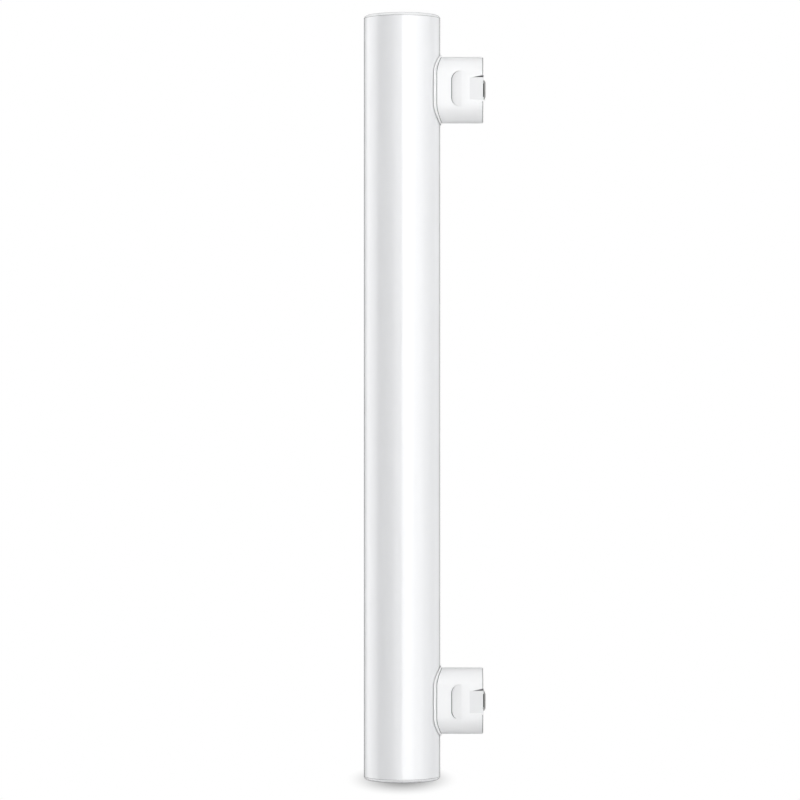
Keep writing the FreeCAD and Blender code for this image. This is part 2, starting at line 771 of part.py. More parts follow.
def make_resistor():
    """Fusible resistor that lies along the board on its two wires."""
    body = start_body("fusible_resistor")
    profile = start_sketch(body, "XZ_Plane", "profile")
    radius = "size.resistor_diameter / 2"
    waist = "size.resistor_waist / 2"
    half = "(size.resistor_length / 2)"
    shoulder = f"({half} - size.resistor_shoulder)"
    steps = [
        ("0", f"-{half}"),
        (radius, f"-{half}"),
        (radius, f"-{shoulder}"),
        (waist, f"-{shoulder}"),
        (waist, shoulder),
        (radius, shoulder),
        (radius, half),
        ("0", half),
    ]
    draw(profile, steps)
    revolve(body, "case", profile)
    wire = add_wire_leg(body, "wire", "0", f"({radius})", half)
    mirror(body, "other_wire", [wire], "XY_Plane")
    return place(body, row_height("resistor"), across=f"{DRIVER_TOP} + {radius}")


def make_capacitor():
    """Round smoothing capacitor lying on the board, crimped near its wired end."""
    body = start_body("smoothing_capacitor")
    profile = start_sketch(body, "XZ_Plane", "profile")
    radius = "(size.capacitor_diameter / 2)"
    half = "(size.capacitor_length / 2)"
    crimp_high = f"({half} - size.crimp_margin)"
    crimp_low = f"({crimp_high} - size.crimp_width)"
    steps = [
        ("0", f"-{half}"),
        (radius, f"-{half}"),
        (radius, crimp_low),
        ("size.crimp_diameter / 2", f"({crimp_low} + {crimp_high}) / 2"),
        (radius, crimp_high),
        (radius, half),
        ("0", half),
    ]
    draw(profile, steps)
    revolve(body, "can", profile)
    wire = add_wire_leg(body, "wire", f"{radius} / 2", radius, half)
    mirror(body, "other_wire", [wire], "XZ_Plane")
    height = f"{row_height('capacitor')} - size.wire_reach / 2"
    return place(body, height, across=f"{DRIVER_TOP} + {radius}")


def make_varistor():
    """Coated surge disc that lies flat on the board, with bevelled rims."""
    body = start_body("surge_varistor")
    disc = start_sketch(body, "YZ_Plane", "disc")
    draw_circle(disc, "size.varistor_diameter / 2")
    solid = extrude(body, "disc", disc, "size.varistor_thickness")
    rims = edges_where(solid, lambda edge: len(edge.Vertexes) == 1)
    chamfer(body, "rims", solid, rims, "size.varistor_chamfer")
    return place(body, row_height("varistor"), across=DRIVER_TOP)


def make_boards():
    """Light board with its tape, and driver board with its insulating sheet."""
    light_high = f"{BOARD_START} + {BOARD_LENGTH}"
    driver_low = f"{DRIVER_HEIGHT} - {DRIVER_LENGTH} / 2"
    driver_high = f"{DRIVER_HEIGHT} + {DRIVER_LENGTH} / 2"
    sheet_half = f"({RAIL_HALF} - size.rail_thickness - size.sheet_side_gap)"
    sheet_low = f"{driver_low} - size.sheet_overhang"
    sheet_high = f"{driver_high} + size.sheet_overhang"
    tape_back = f"{RAIL_NEAR} - size.tape_thickness"
    thin = "size.tape_thickness"
    board = "size.light_board_thickness"
    tape = make_flat("thermal_tape", tape_back, thin, BOARD_HALF, BOARD_START, light_high)
    light = make_flat("light_board", LIGHT_BOARD_FRONT, board, BOARD_HALF, BOARD_START, light_high)
    sheet = make_flat(
        "insulating_sheet", RAIL_SEAT, "size.sheet_thickness", sheet_half, sheet_low, sheet_high
    )
    driver = make_flat(
        "driver_board", DRIVER_BACK, "size.driver_thickness", DRIVER_HALF, driver_low, driver_high
    )
    for film in (tape, sheet):
        cut_pin_window(film)
    for laminate in (light, driver):
        cut_pin_holes(laminate)
    return [tape, light, sheet, driver]


def make_lamp():
    """All pieces of the lamp, each under its own label."""
    pieces = [
        make_tube(),
        make_end_cap("bottom_end_cap", "0", False),
        make_end_cap("top_end_cap", "size.overall_length", True),
    ]
    for name, height, turned in (("upper", UPPER_BLOCK_HEIGHT, False), ("lower", LOWER_BLOCK_HEIGHT, True)):
        pieces.append(make_socket_block(f"{name}_socket_block", height, turned))
        pieces.append(make_contact(f"{name}_contact", height, turned))
        pieces.append(make_lead(f"{name}_lead", height, turned))
    pieces.append(make_rail())
    pieces.extend(make_boards())
    pieces.append(make_light_sources())
    pieces.append(make_link_pins())
    pieces.append(make_chip("bridge_rectifier", "bridge", 2))
    pieces.append(make_chip("current_regulator", "regulator", 4))
    pieces.append(make_resistor())
    pieces.append(make_capacitor())
    pieces.append(make_varistor())
    return pieces


def check(pieces):
    """Stop if any object failed or any piece has no sound shape."""
    for item in doc.Objects:
        if "Invalid" in item.State or "Error" in item.State:
            raise RuntimeError(f"{item.Name} did not compute: {item.State}")
    for piece in pieces:
        if piece.Shape.isNull() or not piece.Shape.isValid() or not piece.Shape.Solids:
            raise RuntimeError(f"{piece.Label} has no sound solid")


pieces = make_lamp()
doc.recompute()
check(pieces)
os.makedirs("parts", exist_ok=True)
for piece in pieces:
    piece.Shape.exportStep(os.path.join("parts", f"{piece.Label}.step"))
    print(f"{piece.Label}: {len(piece.Shape.Solids)} solid, {piece.Shape.Volume:.1f} mm3")
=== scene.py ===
"""Looks of a tubular lamp: opal tube, push-in caps, two socket blocks and the studio around them.

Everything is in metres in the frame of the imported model. The tube stands on the origin along
+Z, the socket blocks point along +X, and the camera looks along +Y.
"""

import logging
import math
from contextlib import contextmanager
from dataclasses import dataclass, field
from enum import Enum, IntEnum
from functools import partial
from typing import Callable, Iterator

import bmesh
import bpy
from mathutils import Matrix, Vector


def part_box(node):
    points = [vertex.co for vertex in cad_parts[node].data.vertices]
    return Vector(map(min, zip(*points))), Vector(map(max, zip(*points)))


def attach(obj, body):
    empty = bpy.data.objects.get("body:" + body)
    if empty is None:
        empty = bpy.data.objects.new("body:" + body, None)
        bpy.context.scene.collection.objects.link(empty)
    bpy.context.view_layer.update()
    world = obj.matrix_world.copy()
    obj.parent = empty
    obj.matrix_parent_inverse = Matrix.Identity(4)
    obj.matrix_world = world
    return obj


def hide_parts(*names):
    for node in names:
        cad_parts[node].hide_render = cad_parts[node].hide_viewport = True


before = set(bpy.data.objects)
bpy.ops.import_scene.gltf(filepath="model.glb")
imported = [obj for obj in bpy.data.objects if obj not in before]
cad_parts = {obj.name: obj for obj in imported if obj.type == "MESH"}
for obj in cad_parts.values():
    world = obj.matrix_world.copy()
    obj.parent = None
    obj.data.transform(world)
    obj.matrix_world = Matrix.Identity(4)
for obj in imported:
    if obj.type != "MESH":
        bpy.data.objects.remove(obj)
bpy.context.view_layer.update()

log = logging.getLogger("lamp")

MM = 0.001
X, Y, Z = range(3)
SIDES = (-1, 1)
WHITE = (1, 1, 1, 1)
BLACK = (0, 0, 0, 1)
MATT_GLOW = {"Specular IOR Level": 0, "Emission Color": WHITE}
BODY = "root"

# Slack in tests of a place, and overlap of cutters that would only touch.
TINY = 0.02 * MM
# Least part of a unit normal along an axis for a face that looks along it.
FACING = 0.9
# Facets round a drum, and the bevel profile that is an arc.
DRUM_SIDES = 256
ARC = 0.5
# Edges flatter than the angle are shaded smooth, and large faces decide how.
SMOOTH_ANGLE = math.radians(30)
LARGE_FACES = 100


class Combine(Enum):
    """How one mesh acts on another."""

    CUT = "DIFFERENCE"
    ADD = "UNION"


class Element(Enum):
    """What a mesh is made of, with the mesh's name for all of them."""

    EDGE = "edges"
    FACE = "faces"


class Facets(IntEnum):
    """Number of facets across a rounding, from a broken edge to the corner of an outline."""

    EDGE = 2
    RIM = 4
    FOLD = 5
    END = 6
    LIP = 8
    RECESS = 12
    OUTLINE = 16


@contextmanager
def editing(obj: bpy.types.Object) -> Iterator[None]:
    """Open a mesh in edit mode with nothing selected, and close it again.

    Args:
        obj: The mesh object to edit.

    Returns:
        An iterator that the with statement steps through.
    """
    activate(obj)
    bpy.ops.object.mode_set(mode="EDIT")
    bpy.ops.mesh.select_all(action="DESELECT")
    yield
    bpy.ops.object.mode_set(mode="OBJECT")


def activate(obj: bpy.types.Object) -> None:
    """Make an object the only selected one.

    Args:
        obj: The object that the next operators act on.
    """
    bpy.ops.object.select_all(action="DESELECT")
    obj.select_set(True)
    bpy.context.view_layer.objects.active = obj


def pick(kind: Element, obj: bpy.types.Object, test: Callable[..., bool]) -> None:
    """Select, in edit mode, only the edges or faces that pass a test.

    Args:
        kind: Edges or faces.
        obj: The mesh object in edit mode.
        test: Says whether one of them is wanted.
    """
    bpy.ops.mesh.select_mode(type=kind.name)
    bpy.ops.mesh.select_all(action="DESELECT")
    mesh = bmesh.from_edit_mesh(obj.data)
    for element in getattr(mesh, kind.value):
        element.select_set(test(element))
    bmesh.update_edit_mesh(obj.data)


pick_edges = partial(pick, Element.EDGE)
pick_faces = partial(pick, Element.FACE)


def lies_at(edge: bmesh.types.BMEdge, axis: int, place: float) -> bool:
    """Whether both ends of an edge have one coordinate at a place.

    Args:
        edge: The edge to test.
        axis: X, Y or Z.
        place: The coordinate that the ends should have.

    Returns:
        True when both ends are there.
    """
    return all(abs(vert.co[axis] - place) < TINY for vert in edge.verts)


def runs_along(edge: bmesh.types.BMEdge, axis: int) -> bool:
    """Whether an edge is parallel to an axis.

    Args:
        edge: The edge to test.
        axis: X, Y or Z.

    Returns:
        True when the edge runs along that axis only.
    """
    run = edge.verts[1].co - edge.verts[0].co
    return all(abs(run[other]) < TINY for other in (X, Y, Z) if other != axis)


def round_edges(offset: float, facets: Facets, affect: str = "EDGES") -> None:
    """Round the selected edges, or the selected corners of an outline.

    Args:
        offset: Radius of the rounding.
        facets: Number of facets across it.
        affect: EDGES, or VERTICES for corners.
    """
    bpy.ops.mesh.bevel(
        offset=offset, segments=facets, profile=ARC, affect=affect, clamp_overlap=True
    )


def extrude(shift: tuple[float, float, float]) -> None:
    """Extrude the selection and move the new part.

    Args:
        shift: How far the new part moves.
    """
    bpy.ops.mesh.extrude_region_move(TRANSFORM_OT_translate={"value": shift})


def turn_outwards() -> None:
    """Turn the faces of the mesh in edit mode outwards."""
    bpy.ops.mesh.select_all(action="SELECT")
    bpy.ops.mesh.normals_make_consistent(inside=False)


def add_box(low: tuple[float, float, float], high: tuple[float, float, float]) -> bpy.types.Object:
    """Start a mesh from a box between two corners.

    Args:
        low: Lowest corner.
        high: Highest corner.

    Returns:
        The new object, with its place in its mesh.
    """
    middle = [(a + b) / 2 for a, b in zip(low, high)]
    size = [b - a for a, b in zip(low, high)]
    bpy.ops.object.select_all(action="DESELECT")
    bpy.ops.mesh.primitive_cube_add(size=1, location=middle, scale=size)
    settle()
    return bpy.context.active_object


def add_drum(radius: float, low: float, high: float, fill: str = "NGON") -> bpy.types.Object:
    """Start a mesh from an upright cylinder on the tube's axis.

    Args:
        radius: Radius of the cylinder.
        low: Height of its lower end.
        high: Height of its upper end.
        fill: End fill of the cylinder operator.

    Returns:
        The new object, with its place in its mesh.
    """
    bpy.ops.object.select_all(action="DESELECT")
    bpy.ops.mesh.primitive_cylinder_add(
        vertices=DRUM_SIDES,
        radius=radius,
        depth=high - low,
        end_fill_type=fill,
        location=(0, 0, (low + high) / 2),
    )
    settle()
    return bpy.context.active_object


def add_sheet(place: float, middle: float, height: float, width: float) -> bpy.types.Object:
    """Start a mesh from a flat upright sheet across the X axis.

    Args:
        place: Its X.
        middle: Height of its middle.
        height: Its size along Z.
        width: Its size along Y.

    Returns:
        The new object, with its place in its mesh.
    """
    bpy.ops.object.select_all(action="DESELECT")
    bpy.ops.mesh.primitive_plane_add(
        size=1, rotation=(0, math.pi / 2, 0), location=(place, 0, middle)
    )
    sheet = bpy.context.active_object
    sheet.scale = (height, width, 1)
    settle()
    return sheet


def settle() -> None:
    """Move the active object's place, turn and scale into its mesh."""
    bpy.ops.object.transform_apply(location=True, rotation=True, scale=True)


def apply_modifier(obj: bpy.types.Object, kind: str, **settings: object) -> None:
    """Add a modifier to an object and apply it at once.

    Args:
        obj: The object that is changed.
        kind: The modifier's type.
        **settings: Values of its settings.
    """
    activate(obj)
    modifier = obj.modifiers.new(kind.lower(), kind)
    for name, value in settings.items():
        setattr(modifier, name, value)
    bpy.ops.object.modifier_apply(modifier=modifier.name)


def break_edges(obj: bpy.types.Object, width: float, angle: float) -> None:
    """Break the edges of a mesh that are sharper than an angle.

    Args:
        obj: The mesh object.
        width: Width of a broken edge.
        angle: Least angle between the two faces of such an edge.
    """
    apply_modifier(
        obj, "BEVEL", width=width, segments=Facets.EDGE, limit_method="ANGLE", angle_limit=angle
    )


def combine(target: bpy.types.Object, tool: bpy.types.Object, how: Combine) -> None:
    """Cut one mesh with another, or join them, and drop the tool.

    Args:
        target: The mesh that stays.
        tool: The mesh that acts on it.
        how: Cut or add.
    """
    apply_modifier(target, "BOOLEAN", operation=how.value, solver="EXACT", object=tool)
    bpy.data.objects.remove(tool, do_unlink=True)


def smooth(obj: bpy.types.Object) -> None:
    """Shade the round stretches smooth and keep flat faces flat.

    Args:
        obj: The object to shade.
    """
    activate(obj)
    bpy.ops.object.shade_smooth_by_angle(angle=SMOOTH_ANGLE)
    apply_modifier(obj, "WEIGHTED_NORMAL", mode="FACE_AREA", weight=LARGE_FACES, keep_sharp=True)


Inputs = dict[str | int, object]


def feed(node: bpy.types.Node, inputs: Inputs) -> None:
    """Set or link inputs of a shader node.

    Args:
        node: The node.
        inputs: A value or another node's output for each input, by its name or number.
    """
    for key, source in inputs.items():
        if isinstance(source, bpy.types.NodeSocket):
            node.id_data.links.new(source, node.inputs[key])
        else:
            node.inputs[key].default_value = source


def add_node(
    tree: bpy.types.NodeTree, kind: str, inputs: Inputs, **settings: str
) -> bpy.types.Node:
    """Add a shader node.

    Args:
        tree: Nodes of the material or world.
        kind: Its type, without the ShaderNode in front.
        inputs: What its inputs get.
        **settings: Values of its settings.

    Returns:
        The new node.
    """
    node = tree.nodes.new(f"ShaderNode{kind}")
    for name, value in settings.items():
        setattr(node, name, value)
    feed(node, inputs)
    return node


def start_material(name: str) -> tuple[bpy.types.Material, bpy.types.Node]:
    """Make a node material.

    Args:
        name: Name of the material.

    Returns:
        The material and its shader.
    """
    made = bpy.data.materials.new(name)
    made.use_nodes = True
    return made, made.node_tree.nodes["Principled BSDF"]


class Grain(Enum):
    """How the fine relief of a surface runs, as the stretch of its noise along X, Y and Z."""

    MOULDED = (1.0, 1.0, 1.0)
    DRAWN = (1.0, 1.0, 0.02)
    BRUSHED = (1.0, 0.04, 1.0)
    WOVEN = (1.0, 0.3, 0.3)


@dataclass(frozen=True)
class Finish:
    """One procedural surface: its colour, gloss, tone drift and fine relief."""

    name: str
    colour: tuple[float, float, float]
    drift: float = 0.02
    roughness: float = 0.4
    roughness_spread: float = 0.05
    metallic: float = 0.0
    ior: float = 1.46
    coat: float = 0.0
    coat_roughness: float = 0.03
    grain: Grain = Grain.MOULDED
    relief: float = 0.002 * MM
    pitch: float = 0.6 * MM
    patch: float = 12 * MM
    fine_layers: float = 4
    broad_layers: float = 2

    def material(self) -> bpy.types.Material:
        """Node material of this finish, made once.

        Returns:
            The material, shared by every piece that has this finish.
        """
        made = bpy.data.materials.get(self.name)
        if made:
            return made
        made, shader = start_material(self.name)
        tree = made.node_tree
        place = add_node(tree, "TexCoord", {}).outputs["Object"]
        grain = add_node(tree, "Mapping", {"Vector": place, "Scale": self.grain.value}).outputs[0]
        rows = ((grain, self.pitch, self.fine_layers), (place, self.patch, self.broad_layers))
        fine, broad = (
            add_node(tree, "TexNoise", {"Vector": at, "Scale": 1 / size, "Detail": layers})
            for at, size, layers in rows
        )
        height = fine.outputs["Fac"]
        tone = add_node(
            tree,
            "Mix",
            {
                "Factor": broad.outputs["Fac"],
                "A": self.tint(1 - self.drift),
                "B": self.tint(1 + self.drift),
            },
            data_type="RGBA",
        )
        half = self.roughness_spread / 2
        gloss = add_node(
            tree,
            "MapRange",
            {"Value": height, "To Min": self.roughness - half, "To Max": self.roughness + half},
        )
        bump = add_node(tree, "Bump", {"Height": height, "Distance": self.relief})
        feed(
            shader,
            {
                "Base Color": tone.outputs["Result"],
                "Metallic": self.metallic,
                "Roughness": gloss.outputs["Result"],
                "IOR": self.ior,
                "Normal": bump.outputs["Normal"],
                "Coat Weight": self.coat,
                "Coat Roughness": self.coat_roughness,
            },
        )
        return made

    def tint(self, factor: float) -> tuple[float, ...]:
        """Its colour made darker or lighter.

        Args:
            factor: What each part of the colour is multiplied by.

        Returns:
            Red, green, blue and alpha, none above 1.
        """
        return (*[min(1, part * factor) for part in self.colour], 1)


OPAL = Finish(
    "opal_gloss",
    (0.85, 0.857, 0.872),
    drift=0.004,
    roughness=0.45,
    roughness_spread=0.04,
    ior=1.6,
    coat=1.0,
    grain=Grain.DRAWN,
    relief=0.0002 * MM,
    pitch=0.9 * MM,
)
CAP = Finish("cap_moulding", (0.90, 0.905, 0.915), drift=0.006, roughness=0.22, relief=0.0006 * MM)
BLOCK = Finish("block_moulding", (0.945, 0.95, 0.957), drift=0.006, relief=0.001 * MM)
# Dark grey painted into fine grooves, the wedge, the recess's crescent and the collar's gap:
# painted shade, not another material.
GROOVE_SHADE = Finish("seam_shade", (0.2, 0.203, 0.21), drift=0.05, roughness=0.8)
# Near black rib under each contact: painted shade in the gap behind the strip.
REST_SHADE = Finish("rest_pad", (0.03, 0.03, 0.032), drift=0.05, roughness=0.8, relief=0.004 * MM)
CUT_EDGE = Finish(
    "contact_cut_edge",
    (0.36, 0.36, 0.35),
    drift=0.05,
    roughness=0.7,
    relief=0.004 * MM,
    pitch=0.15 * MM,
)
# Ramp floor: rougher than the block, and its darker colour is painted shade.
RAMP_SHADE = Finish(
    "ramp_moulding",
    (0.84, 0.846, 0.855),
    drift=0.006,
    roughness=0.6,
    relief=0.004 * MM,
    pitch=0.2 * MM,
)
PLATING = Finish(
    "contact_plating",
    (0.60, 0.59, 0.57),
    drift=0.05,
    roughness=0.3,
    roughness_spread=0.12,
    metallic=1.0,
    grain=Grain.BRUSHED,
    pitch=0.25 * MM,
    patch=3 * MM,
)

JACKET = Finish("wire_jacket", (0.85, 0.85, 0.82), roughness=0.45, pitch=0.3 * MM)
EPOXY = Finish("black_epoxy", (0.02, 0.02, 0.022), drift=0.1, roughness=0.6, relief=0.01 * MM)

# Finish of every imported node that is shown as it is.
INNER_FINISHES = {
    "upper_lead": JACKET,
    "lower_lead": JACKET,
    "board_rail": Finish(
        "mill_aluminium", (0.78, 0.78, 0.8), 0.03, 0.38, 0.15, 1, grain=Grain.DRAWN, pitch=0.2 * MM
    ),
    "thermal_tape": Finish("grey_tape", (0.55, 0.55, 0.58), roughness=0.7, relief=0.01 * MM),
    "light_board": Finish("white_mask", (0.9, 0.9, 0.87), grain=Grain.WOVEN, pitch=0.5 * MM),
    "light_sources": Finish("yellow_resin", (0.86, 0.62, 0.12), roughness=0.3, pitch=0.2 * MM),
    "insulating_sheet": Finish("amber_film", (0.65, 0.3, 0.05), roughness=0.25, patch=5 * MM),
    "driver_board": Finish("green_mask", (0.03, 0.22, 0.08), grain=Grain.WOVEN, pitch=0.5 * MM),
    "link_pins": Finish("tinned_pin", (0.75, 0.75, 0.73), 0.04, 0.25, metallic=1.0, pitch=0.2 * MM),
    "bridge_rectifier": EPOXY,
    "current_regulator": EPOXY,
    "fusible_resistor": Finish("cement_coat", (0.25, 0.42, 0.3), 0.08, 0.7, relief=0.02 * MM),
    "smoothing_capacitor": Finish("shrunk_sleeve", (0.05, 0.05, 0.09), 0.06, 0.28, patch=4 * MM),
    "surge_varistor": Finish(
        "dipped_epoxy", (0.04, 0.13, 0.5), 0.08, 0.2, relief=0.02 * MM, pitch=1.5 * MM
    ),
}


def dress(obj: bpy.types.Object, finish: Finish) -> None:
    """Give every material slot of an object one finish.

    Args:
        obj: The object to dress.
        finish: The finish that it gets.
    """
    if not obj.material_slots:
        obj.data.materials.append(finish.material())
    for slot in obj.material_slots:
        slot.material = finish.material()


def add_finish(obj: bpy.types.Object, finish: Finish, test: Callable[..., bool]) -> None:
    """Give some faces of a dressed object another finish.

    Args:
        obj: The dressed object.
        finish: The finish that the faces get.
        test: Says whether a face gets it.
    """
    obj.data.materials.append(finish.material())
    with editing(obj):
        pick_faces(obj, test)
        obj.active_material_index = len(obj.material_slots) - 1
        bpy.ops.object.material_slot_assign()


def install(obj: bpy.types.Object, name: str, node: str) -> None:
    """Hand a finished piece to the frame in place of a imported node.

    Args:
        obj: The finished piece.
        name: Name that the piece gets.
        node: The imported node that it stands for.
    """
    obj.name = name
    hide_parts(node)
    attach(obj, BODY)
    log.info("%s: %d faces", name, len(obj.data.polygons))


@dataclass
class DiffuserTube:
    """Glossy opal tube between the two caps."""

    node: str = "diffuser_tube"
    wall: float = 1.2 * MM
    edge: float = 0.12 * MM
    low: float = field(init=False)
    high: float = field(init=False)
    radius: float = field(init=False)

    def __post_init__(self) -> None:
        """Read the tube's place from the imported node."""
        lowest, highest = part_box(self.node)
        self.low = lowest[Z]
        self.high = highest[Z]
        self.radius = highest[Y]

    def build(self) -> None:
        """Model the tube and put it in place of its node."""
        tube = add_drum(self.radius, self.low, self.high, "NOTHING")
        apply_modifier(tube, "SOLIDIFY", thickness=self.wall, offset=-1)
        with editing(tube):
            pick_edges(tube, self.is_outer_end)
            round_edges(self.edge, Facets.EDGE)
        smooth(tube)
        dress(tube, OPAL)
        install(tube, "opal_tube", self.node)

    def is_outer_end(self, edge: bmesh.types.BMEdge) -> bool:
        """Whether an edge lies on the outer rim of one of the ends.

        Args:
            edge: The edge to test.

        Returns:
            True for the two outer rims.
        """
        outside = all(vert.co.xy.length > self.radius - TINY for vert in edge.verts)
        return outside and (lies_at(edge, Z, self.low) or lies_at(edge, Z, self.high))


@dataclass
class EndCap:
    """Push-in cap: a slightly tapered lip on the tube's end and a hollow skirt inside it."""

    node: str
    name: str
    turned: bool
    lip: float = 1.2 * MM
    rim: float = 0.3 * MM
    taper: float = 0.5 * MM
    rounding: float = 0.6 * MM
    rim_rounding: float = 0.2 * MM
    seam: float = 0.12 * MM
    step: float = 1.3 * MM
    skirt_wall: float = 1.2 * MM
    skirt_depth: float = 7.0 * MM
    floor: float = 1.8 * MM

    def build(self) -> None:
        """Model the cap with its outer face down, turn the upper one over and install it."""
        _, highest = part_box(self.node)
        radius = highest[Y]
        outside = radius - TINY
        cap = add_drum(radius, self.lip - self.rim, self.lip)
        with editing(cap):
            pick_faces(cap, lambda face: face.normal.z < -FACING)
            extrude((0, 0, self.rim - self.lip))
            share = 1 - self.taper / radius
            bpy.ops.transform.resize(value=(share, share, 1), center_override=(0, 0, 0))
            pick_faces(cap, lambda face: face.normal.z > FACING)
            bpy.ops.mesh.inset(thickness=self.step)
            extrude((0, 0, self.skirt_depth))
            bpy.ops.mesh.inset(thickness=self.skirt_wall)
            extrude((0, 0, self.floor - self.lip - self.skirt_depth))
            pick_edges(cap, lambda edge: lies_at(edge, Z, 0))
            round_edges(self.rounding, Facets.LIP)
            pick_edges(cap, lambda edge: lies_at(edge, Z, self.lip - self.rim))
            round_edges(self.rim_rounding, Facets.RIM)
            pick_edges(
                cap,
                lambda edge: lies_at(edge, Z, self.lip)
                and all(vert.co.xy.length > outside for vert in edge.verts),
            )
            round_edges(self.seam, Facets.EDGE)
        dress(cap, CAP)
        # Painted shade: the groove between the lip and the tube gets the dark grey.
        add_finish(cap, GROOVE_SHADE, lambda face: self.is_shaded_groove(face, radius))
        if self.turned:
            with editing(cap):
                bpy.ops.mesh.select_all(action="SELECT")
                bpy.ops.transform.rotate(value=math.pi, orient_axis="X", center_override=(0, 0, 0))
                bpy.ops.transform.translate(value=(0, 0, highest[Z]))
        smooth(cap)
        install(cap, self.name, self.node)

    def is_shaded_groove(self, face: bmesh.types.BMFace, radius: float) -> bool:
        """Whether a face lies in the fine groove between the lip and the tube, which is painted
        dark as shade.

        Args:
            face: The face to test.
            radius: Radius of the lip.

        Returns:
            True for the facets of that groove.
        """
        centre = face.calc_center_median()
        high = self.lip - self.seam < centre.z < self.lip + TINY
        return high and centre.xy.length > radius - self.seam


@dataclass
class SocketBlock:
    """Moulded block on the tube's side, with its collar, snap recesses and lead-in ramps.

    Starts and runs are along X, widths along Y, lengths along Z, and depths under a surface.
    """

    node: str
    name: str
    tube_radius: float = 15.0 * MM
    width: float = 15.5 * MM
    length: float = 26.0 * MM
    corner: float = 7.5 * MM
    rounding: float = 0.55 * MM
    root: float = 11.0 * MM
    overhang: float = 0.7 * MM
    side_overhang: float = 1.15 * MM
    collar_gap: float = 0.24 * MM
    collar_rise: float = 0.17 * MM
    collar_foot: float = 0.45 * MM
    collar_steps: tuple[tuple[float, float], ...] = ((0.04 * MM, 0.09 * MM), (0.1 * MM, 0.05 * MM))
    collar_sunk: float = 0.4 * MM
    collar_height: float = 0.55 * MM
    line: float = 0.18 * MM
    line_depth: float = 0.38 * MM
    line_inset: float = 0.3 * MM
    collar_band: float = 1.6 * MM
    collar_cuts: int = 8
    straight: float = 1.0 * MM
    recess_start: float = 19.25 * MM
    recess_run: float = 6.1 * MM
    recess_length: float = 14.0 * MM
    recess_depth: float = 1.6 * MM
    recess_corner: float = 3.5 * MM
    scoop_sides: int = 360
    breakout: float = 0.002 * MM
    undercut: float = 0.3 * MM
    undercut_depth: float = 0.8 * MM
    wedge_place: float = 4.5 * MM
    wedge_run: float = 4.0 * MM
    wedge_rise: float = 0.9 * MM
    wedge_depth: float = 2.6 * MM
    ramp_run: float = 5.45 * MM
    ramp_floor: float = 8.6 * MM
    ramp_depth: float = 1.1 * MM
    ramp_slope: tuple[float, float] = (0.1, 0.4)
    ramp_level: float = 0.05
    slot_depth: float = 2.2 * MM
    slot_width: float = 5.2 * MM
    slot_inner: float = 3.2 * MM
    slot_outer: float = 4.25 * MM
    end_gap: float = 0.48 * MM
    pocket_depth: float = 0.2 * MM
    pocket_length: float = 6.8 * MM
    rest_height: float = 0.31 * MM
    rest_width: float = 1.2 * MM
    rest_length: float = 5.3 * MM
    edge: float = 0.12 * MM
    edge_angle: float = math.radians(32)
    reach: float = field(init=False)
    height: float = field(init=False)

    def __post_init__(self) -> None:
        """Read the block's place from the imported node."""
        lowest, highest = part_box(self.node)
        self.reach = highest[X] - self.end_gap
        self.height = (lowest[Z] + highest[Z]) / 2

    def build(self) -> None:
        """Model the block and its collar and put them in place of their node."""
        block = self.model_body()
        for side in SIDES:
            for tool in (self.recess_tool, self.undercut_tool, self.ramp_tool, self.wedge_tool):
                combine(block, self.to_side(tool(), side), Combine.CUT)
        for side in SIDES:
            combine(block, self.slot_tool(side), Combine.CUT)
        self.cut_lines(block)
        break_edges(block, self.edge, self.edge_angle)
        smooth(block)
        dress(block, BLOCK)
        # Painted shade: the ramp floors get a darker, rougher moulding.
        add_finish(block, RAMP_SHADE, self.is_ramp_floor)
        # Painted shade: the fine lines, the wedge and the recess's crescent get dark grey.
        add_finish(block, GROOVE_SHADE, self.is_shaded_cut)
        # Painted shade: the rib behind the contact is near black.
        add_finish(block, REST_SHADE, self.is_shaded_rest)
        collar = self.model_collar()
        smooth(collar)
        dress(collar, BLOCK)
        # Painted shade: the collar's underside and foot, in the gap above the tube, get dark grey.
        add_finish(collar, GROOVE_SHADE, self.is_shaded_collar_gap)
        activate(block)
        collar.select_set(True)
        bpy.ops.object.join()
        install(block, self.name, self.node)

    def is_shaded_rest(self, face: bmesh.types.BMFace) -> bool:
        """Whether a face belongs to the rib that the contact rests on, which is painted near black
        as shade.

        Args:
            face: The face to test.

        Returns:
            True for the rib's faces.
        """
        centre = face.calc_center_median()
        return (
            centre.x > self.reach - self.pocket_depth + TINY
            and abs(centre.y) < self.rest_width / 2 + self.edge
            and abs(centre.z - self.height) < self.rest_length / 2 + self.edge
        )

    def is_shaded_cut(self, face: bmesh.types.BMFace) -> bool:
        """Whether a face lies inside one of the fine lines, the wedge or the recess's crescent,
        which get painted shade.

        Args:
            face: The face to test.

        Returns:
            True for the walls and floors of these narrow cuts.
        """
        inner = self.tube_radius + self.collar_height
        line_end = self.reach - self.line_inset
        foot = self.height + self.wedge_place
        surface = self.width / 2 - TINY
        points = [vert.co for vert in face.verts]
        in_foot_line = all(
            inner - TINY < point.xy.length < inner + self.line + TINY for point in points
        )
        in_end_line = all(
            line_end - self.line - TINY < point.x < line_end + TINY for point in points
        )
        in_wedge = all(
            point.x > self.reach - self.wedge_run - TINY
            and foot - TINY < point.z < foot + self.wedge_rise + TINY
            and surface - self.wedge_depth - TINY < abs(point.y) < surface
            for point in points
        )
        in_crescent = all(
            self.recess_start - TINY < point.x < self.recess_start + self.recess_run + TINY
            and surface - self.recess_depth - self.undercut_depth - TINY < abs(point.y)
            and abs(point.y) < surface - self.recess_depth + TINY
            for point in points
        )
        return in_foot_line or in_end_line or in_wedge or in_crescent

    def is_shaded_collar_gap(self, face: bmesh.types.BMFace) -> bool:
        """Whether a face of the collar looks into the gap above the tube, where shade is painted.

        Args:
            face: The face to test.

        Returns:
            True for the collar's underside and foot.
        """
        highest = self.tube_radius + self.collar_gap + TINY
        return all(vert.co.xy.length < highest for vert in face.verts)

